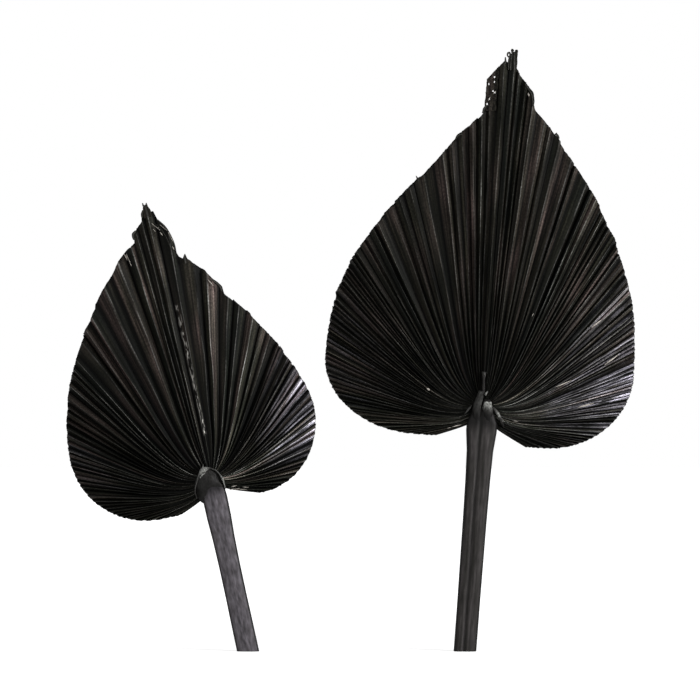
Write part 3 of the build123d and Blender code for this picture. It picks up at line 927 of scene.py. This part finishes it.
strands(
    "large_tip_strands", large,
    [
        [(3.2, 167, 1.0, -2.2), (2.9, 170.5, 1.4, -0.9), (2.5, 174, 1.4, 0), (2.4, 177.2, 1.4, 0)],
        [(1.3, 176.2, 0.5, 0.2), (0.9, 177.8, 0.5, 0.3), (1.3, 178.1, 0.4, 0.5), (1.7, 177.3, 0.4, 0.4)],
        [(2.7, 176.8, 0.45, 0.2), (3.0, 177.7, 0.45, 0.4), (3.6, 177.8, 0.45, 0.4), (3.6, 176.9, 0.4, 0.2)],
        [(0.0, 168, 0.6, -1.8), (-0.1, 171.5, 0.6, -0.5), (0.1, 174.2, 0.55, 0.1), (0.2, 175.6, 0.5, 0.3),
         (-0.3, 176.5, 0.45, 0.4), (-1.0, 176.1, 0.45, 0.4), (-1.1, 175.0, 0.4, 0.3),
         (-0.4, 174.2, 0.4, 0.1)],
        [(-1.9, 169, 0.8, -1.8), (-1.8, 171.8, 0.55, -0.5), (-2.1, 174.2, 0.25, 0)],
        [(1.1, 168, 0.7, -1.8), (0.9, 171.5, 0.5, -0.5), (1.0, 174, 0.45, 0), (1.2, 176.5, 0.4, 0.1)],
    ],
)
strands(
    "large_edge_curls", large,
    [
        [(9.4, 160.8, 0.7, 0.2), (12.2, 157.4, 0.9, 0.5), (13.3, 154.0, 0.8, 0.5), (13.6, 151.0, 0.5, 0.1)],
        [(-20.6, 134.2, 0.5, 0), (-21.8, 134.2, 0.6, 0.3), (-23.0, 133.0, 0.6, 0.4),
         (-23.8, 131.4, 0.4, 0.2)],
        [(-40.4, 109.4, 0.5, 0), (-41.4, 110.9, 0.4, 0.2), (-42.1, 112.0, 0.15, 0.3)],
        [(26.0, 138.4, 0.5, 0), (27.1, 137.0, 0.6, 0.2), (27.8, 135.6, 0.4, 0.1)],
        [(-9.6, 149.5, 0.6, -0.5), (-10.6, 147.6, 0.7, -0.2), (-11.0, 145.4, 0.7, -0.3)],
    ],
    light=0.5,
)
strands(
    "small_tip_strands", small,
    [
        [(-2.9, 134.0, 2.4, -1.2), (-3.0, 137.3, 2.0, -0.4), (-3.1, 139.3, 1.35, 0), (-3.2, 140.4, 1.0, 0.1)],
        [(-3.8, 139.0, 0.5, 0.1), (-4.1, 140.4, 0.4, 0.2), (-4.2, 141.5, 0.25, 0.2)],
        [(-2.8, 139.0, 0.5, 0.1), (-2.5, 140.2, 0.45, 0.2), (-2.3, 141.2, 0.25, 0.2)],
    ],
    tone=0.6, light=0.55,
)
strands(
    "small_edge_curls", small,
    [
        [(-4.6, 138.0, 0.4, 0.1), (-5.5, 136.6, 0.5, 0.4), (-5.8, 135.2, 0.5, 0.3), (-5.8, 134.2, 0.4, 0.1)],
        [(-10.4, 128.6, 0.6, 0), (-11.8, 127.4, 0.8, 0.3), (-12.3, 126.0, 0.7, 0.3), (-12.0, 124.6, 0.6, 0)],
        [(10.6, 107.6, 1.4, -0.6), (10.7, 110.2, 1.0, -0.1), (11.1, 112.3, 0.2, 0.2)],
        [(1.4, 131.6, 0.4, 0.1), (4.3, 127.4, 0.5, 0.4), (6.0, 122.6, 0.5, 0.5), (6.9, 118.2, 0.4, 0.3),
         (7.0, 113.6, 0.3, 0)],
        [(0.2, 129.6, 0.25, 0.2), (2.6, 125.6, 0.3, 0.4), (4.0, 121.4, 0.3, 0.4), (4.8, 116.4, 0.25, 0.2)],
        [(21.6, 97.0, 0.5, 0), (23.6, 94.6, 0.7, 0.3), (25.0, 92.2, 0.8, 0.3), (25.0, 90.2, 0.5, 0.1)],
    ],
    light=0.8,
)

# The net of bare fibres at the left of the larger leaf's tip: a crinkled sheet, cut to the net's edge given
# as (up, across) points, with an oval gap round each (across, up) point where cross fibres part.
cell = 0.22 * mm
net_low = 147 * mm
net_high = 169.5 * mm
net_inner = 4.8 * mm
net_outer = 10.7 * mm
net_depth = 1.2 * mm  # behind the ridges of the folds
crinkle_size = 0.25 * mm
sway_size = 0.15 * mm
gap_across = 0.36 * mm
gap_up = 0.5 * mm
net_gaps = np.array([
    [-9.2, 160.3], [-6.7, 164.0], [-6.5, 161.5], [-6.9, 156.9], [-5.9, 156.4], [-8.5, 152.8], [-9.3, 150.3],
]) * mm
net_edge = np.array([[147, 10.4], [149, 10.6], [162.7, 10.4], [166.9, 7.0], [169.5, 4.9]]) * mm
up = np.arange(net_low, net_high, cell)[:, None]
across = -np.arange(net_inner, net_outer, cell)[None, :]
up_grid = up + 0 * across
across_grid = across + 0 * up + sway_size * np.sin(up / (0.9 * mm))
crinkle = crinkle_size * np.sin(across / (0.45 * mm) + np.sin(up / (2.1 * mm))) * np.sin(up / (1.3 * mm))
out = blade_front(across_grid, up_grid) - net_depth + crinkle
centre_across = across_grid[:-1, :-1] - cell / 2
centre_up = up_grid[:-1, :-1] + cell / 2
gap = np.hypot(
    (centre_across[..., None] - net_gaps[:, 0]) / gap_across,
    (centre_up[..., None] - net_gaps[:, 1]) / gap_up,
).min(axis=-1)
kept = (gap > 1) & (-centre_across < np.interp(centre_up, net_edge[:, 0], net_edge[:, 1]))
uv_grid = np.stack([across_grid, up_grid], axis=-1)
streaks = waves(rng, across_grid.shape[1], across_grid.shape[0]).T
marks = {
    "ridge": 0.35 + 0.6 * streaks, "tone": 0.1 + 0 * streaks, "light": 0.7 + 0 * streaks,
    "rim": 1.0 * mm + 0 * streaks,
}
net = skin("large_tip_net", in_leaf(large, across_grid, up_grid, out), uv_grid, marks, kept)
net.data.materials.append(dyed_leaf)
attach(net, "root")

# Torn palm fibre: the dry inside of a broken strand, a dull straw grey with darker specks of dye. Its own
# grain is about 0.1 mm, too fine to show, and is drawn 0.3 mm apart.
torn_fibre = bpy.data.materials.new("torn_palm_fibre")
torn_fibre.use_nodes = True
tree = torn_fibre.node_tree
shader = tree.nodes["Principled BSDF"]
shader.inputs["IOR"].default_value = 1.45
shader.inputs["Specular IOR Level"].default_value = 0.2
uv = node(tree, "ShaderNodeTexCoord").outputs["UV"]
strand_grain = stretched_noise(tree, uv, 0.3 * mm, 2 * mm, 3.0)
straw = ramp(tree, strand_grain, [(0.30, "#55504a"), (0.50, "#a09a92"), (0.70, "#d8d2c8")])
tree.links.new(straw, shader.inputs["Base Color"])
tree.links.new(span(tree, strand_grain, 0.3, 0.7, 0.85, 0.65), shader.inputs["Roughness"])
bump = node(tree, "ShaderNodeBump", [("Height", strand_grain), ("Distance", 0.08 * mm), ("Strength", 0.8)])
tree.links.new(bump.outputs[0], shader.inputs["Normal"])


def torn_fibres(name, leaf, ends):
    """Short pale breaks: straight thin strands that taper at both ends. Each is given as its two ends,
    across and up, then its half width and how far it lies in front of the ridges' usual height, in mm."""
    tables = []
    for across, up, far_across, far_up, half_width, lift in ends:
        tables.append([
            (across, up, 0.1 * half_width, lift),
            ((2 * across + far_across) / 3, (2 * up + far_up) / 3, half_width, lift),
            ((across + 2 * far_across) / 3, (up + 2 * far_up) / 3, half_width, lift),
            (far_across, far_up, 0.1 * half_width, lift),
        ])
    strands(name, leaf, tables, material=torn_fibre, rows=12, count=8)


torn_fibres(
    "large_torn_fibres", large,
    [
        (-28.8, 6.4, -27.2, 5.3, 0.42, 0.9), (10.6, 157.3, 11.2, 155.4, 0.3, 0.6),
        (-14.8, -12.0, -10.4, -10.6, 0.25, 0.6), (-17.0, -12.9, -15.4, -12.3, 0.15, 0.6),
        (-6.9, 155.4, -5.6, 157.0, 0.15, -0.6), (-9.0, 152.0, -8.0, 153.8, 0.15, -0.6),
        (15.2, -6.6, 18.0, -6.9, 0.12, 0.3), (21.0, 46.0, 21.6, 47.6, 0.12, 0.3),
        (50.9, 42.4, 56.3, 47.4, 0.32, 0.9), (59.1, 24.4, 66.2, 30.6, 0.34, 0.9),
        (47.2, 2.2, 55.2, 5.1, 0.34, 0.9), (34.9, 11.4, 43.3, 15.7, 0.24, 0.8),
    ],
)
torn_fibres(
    "small_torn_fibres", small,
    [
        (7.4, -7.8, 10.4, -7.6, 0.2, 0.9), (10.0, -7.9, 13.2, -8.2, 0.2, 0.9),
        (12.6, -8.4, 16.4, -9.4, 0.16, 0.8), (9.2, -6.4, 12.0, -6.3, 0.2, 0.9),
        (14.6, -7.6, 17.6, -8.6, 0.15, 0.8),
        (19.6, 97.4, 21.6, 93.6, 0.22, 0.5), (-18.6, 118.8, -17.7, 115.2, 0.16, 0.5),
        (-18.0, 118.0, -17.2, 115.8, 0.12, 0.5), (1.4, 125.4, 2.2, 123.6, 0.2, 0.6),
        (5.8, 117.2, 6.4, 115.4, 0.2, 0.6), (-1.8, 127.8, -0.8, 126.2, 0.12, 0.4),
        (-2.0, 130.9, 1.5, 126.4, 0.11, 0.9), (2.1, 129.0, 4.8, 125.6, 0.11, 1.1),
        (5.2, 124.6, 6.6, 119.6, 0.11, 1.1), (-17.5, 118.4, -16.3, 112.0, 0.1, 0.5),
    ],
)
